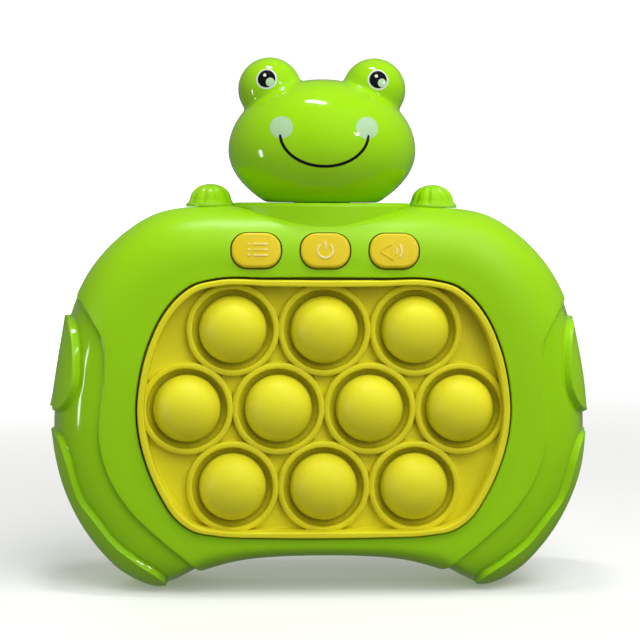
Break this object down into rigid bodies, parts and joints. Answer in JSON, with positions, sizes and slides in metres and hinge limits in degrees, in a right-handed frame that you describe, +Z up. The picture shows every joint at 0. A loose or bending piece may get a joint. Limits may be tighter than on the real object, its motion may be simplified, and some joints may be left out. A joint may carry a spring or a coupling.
{
  "type": "electronic bubble pop game",
  "caption": "Hand-held electronic bubble pop game with a frog head, soft pressing bubbles that light up, push buttons, shoulder knobs and a battery door.",
  "frame": {"origin": "middle of the bounding box's underside, on the surface the two legs stand on", "axes": "+Z up, the bubbles and the face look towards -Y, +X to the right as seen from the front"},
  "size_m": [0.1556, 0.045, 0.1501],
  "materials": {
    "body_green": "lime green ABS with a fine satin grain",
    "gloss_green": "lime green ABS, polished",
    "pad_yellow": "yellow silicone, satin",
    "bubble_yellow": "translucent yellow silicone, satin",
    "button_yellow": "warm yellow ABS, semi-gloss",
    "key_white": "milky clear plastic",
    "guide_black": "black ABS, matte",
    "board_finish": "green lacquered glass-fibre board",
    "switch_black": "black switch plastic",
    "steel": "plated steel",
    "cell_wrap": "plain dark wrap on a steel can",
    "speaker_black": "black paper cone and frame"
  },
  "bodies": {
    "body": {"front_shell": "body_green", "rear_shell": "body_green", "head_front_shell": "gloss_green", "head_rear_shell": "gloss_green", "left_shoulder_knob": "gloss_green", "right_shoulder_knob": "gloss_green", "bubble_pad": "pad_yellow", "bubble_switch_01": "switch_black", "bubble_switch_02": "switch_black", "bubble_switch_03": "switch_black", "bubble_switch_04": "switch_black", "bubble_switch_05": "switch_black", "bubble_switch_06": "switch_black", "bubble_switch_07": "switch_black", "bubble_switch_08": "switch_black", "bubble_switch_09": "switch_black", "bubble_switch_10": "switch_black", "menu_switch": "switch_black", "power_switch": "switch_black", "volume_switch": "switch_black", "guide_plate": "guide_black", "main_board": "board_finish", "speaker": "speaker_black", "battery_cell_1": "cell_wrap", "battery_cell_2": "cell_wrap", "battery_cell_3": "cell_wrap", "battery_contact_left": "steel", "battery_contact_right": "steel", "case_screw_1": "steel", "case_screw_2": "steel", "case_screw_3": "steel", "case_screw_4": "steel", "case_screw_5": "steel", "case_screw_6": "steel"},
    "bubble_01": {"bubble_dome_01": "bubble_yellow", "light_key_01": "key_white"},
    "bubble_02": {"bubble_dome_02": "bubble_yellow", "light_key_02": "key_white"},
    "bubble_03": {"bubble_dome_03": "bubble_yellow", "light_key_03": "key_white"},
    "bubble_04": {"bubble_dome_04": "bubble_yellow", "light_key_04": "key_white"},
    "bubble_05": {"bubble_dome_05": "bubble_yellow", "light_key_05": "key_white"},
    "bubble_06": {"bubble_dome_06": "bubble_yellow", "light_key_06": "key_white"},
    "bubble_07": {"bubble_dome_07": "bubble_yellow", "light_key_07": "key_white"},
    "bubble_08": {"bubble_dome_08": "bubble_yellow", "light_key_08": "key_white"},
    "bubble_09": {"bubble_dome_09": "bubble_yellow", "light_key_09": "key_white"},
    "bubble_10": {"bubble_dome_10": "bubble_yellow", "light_key_10": "key_white"},
    "menu_press": {"menu_button": "button_yellow"},
    "power_press": {"power_button": "button_yellow"},
    "volume_press": {"volume_button": "button_yellow"},
    "battery_door": {"battery_door": "body_green", "battery_door_screw": "steel"}
  },
  "joints": [
    {"name": "bubble_01_pop", "type": "slide", "parent": "body", "child": "bubble_01", "axis": [0, 1, 0], "range_m": [0, 0.003], "stiffness_N_per_m": 400},
    {"name": "bubble_02_pop", "type": "slide", "parent": "body", "child": "bubble_02", "axis": [0, 1, 0], "range_m": [0, 0.003], "stiffness_N_per_m": 400},
    {"name": "bubble_03_pop", "type": "slide", "parent": "body", "child": "bubble_03", "axis": [0, 1, 0], "range_m": [0, 0.003], "stiffness_N_per_m": 400},
    {"name": "bubble_04_pop", "type": "slide", "parent": "body", "child": "bubble_04", "axis": [0, 1, 0], "range_m": [0, 0.003], "stiffness_N_per_m": 400},
    {"name": "bubble_05_pop", "type": "slide", "parent": "body", "child": "bubble_05", "axis": [0, 1, 0], "range_m": [0, 0.003], "stiffness_N_per_m": 400},
    {"name": "bubble_06_pop", "type": "slide", "parent": "body", "child": "bubble_06", "axis": [0, 1, 0], "range_m": [0, 0.003], "stiffness_N_per_m": 400},
    {"name": "bubble_07_pop", "type": "slide", "parent": "body", "child": "bubble_07", "axis": [0, 1, 0], "range_m": [0, 0.003], "stiffness_N_per_m": 400},
    {"name": "bubble_08_pop", "type": "slide", "parent": "body", "child": "bubble_08", "axis": [0, 1, 0], "range_m": [0, 0.003], "stiffness_N_per_m": 400},
    {"name": "bubble_09_pop", "type": "slide", "parent": "body", "child": "bubble_09", "axis": [0, 1, 0], "range_m": [0, 0.003], "stiffness_N_per_m": 400},
    {"name": "bubble_10_pop", "type": "slide", "parent": "body", "child": "bubble_10", "axis": [0, 1, 0], "range_m": [0, 0.003], "stiffness_N_per_m": 400},
    {"name": "menu_button_press", "type": "slide", "parent": "body", "child": "menu_press", "axis": [0, 0.9781, -0.2079], "range_m": [0, 0.0012], "stiffness_N_per_m": 400},
    {"name": "power_button_press", "type": "slide", "parent": "body", "child": "power_press", "axis": [0, 0.9781, -0.2079], "range_m": [0, 0.0012], "stiffness_N_per_m": 400},
    {"name": "volume_button_press", "type": "slide", "parent": "body", "child": "volume_press", "axis": [0, 0.9781, -0.2079], "range_m": [0, 0.0012], "stiffness_N_per_m": 400},
    {"name": "battery_door_hinge", "type": "hinge", "parent": "body", "child": "battery_door", "pos_m": [0, 0.0225, 0.07035], "axis": [1, 0, 0], "range_deg": [0, 35]}
  ]
}
